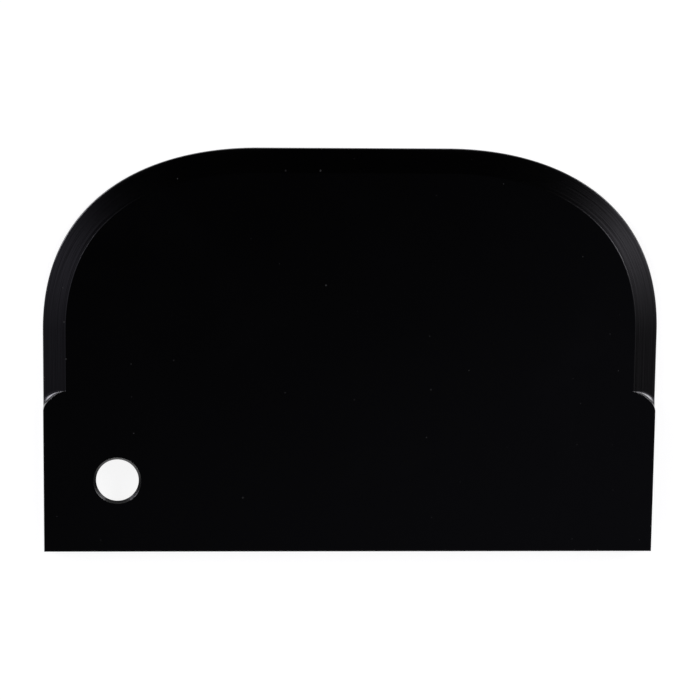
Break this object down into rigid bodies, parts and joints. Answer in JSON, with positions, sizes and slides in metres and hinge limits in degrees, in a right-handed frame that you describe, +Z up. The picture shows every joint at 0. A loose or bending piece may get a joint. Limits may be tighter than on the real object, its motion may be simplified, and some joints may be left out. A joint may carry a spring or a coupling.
{
  "type": "dough scraper",
  "caption": "Flat moulded plastic dough scraper with a straight base edge, a curved scraping edge bevelled to a thin lip, rounded shoulders and a hanging hole.",
  "frame": {"origin": "centre of the flat back, which lies on the surface, under the middle of the plate's width and depth", "axes": "+X along the straight base edge, away from the hanging hole; +Y from the base edge to the curved scraping edge; +Z up, out of the raised face"},
  "size_m": [0.15, 0.1, 0.003],
  "materials": {
    "black_plastic": "satin black moulded plastic"
  },
  "bodies": {
    "root": {"scraper_plate": "black_plastic"}
  },
  "joints": []
}
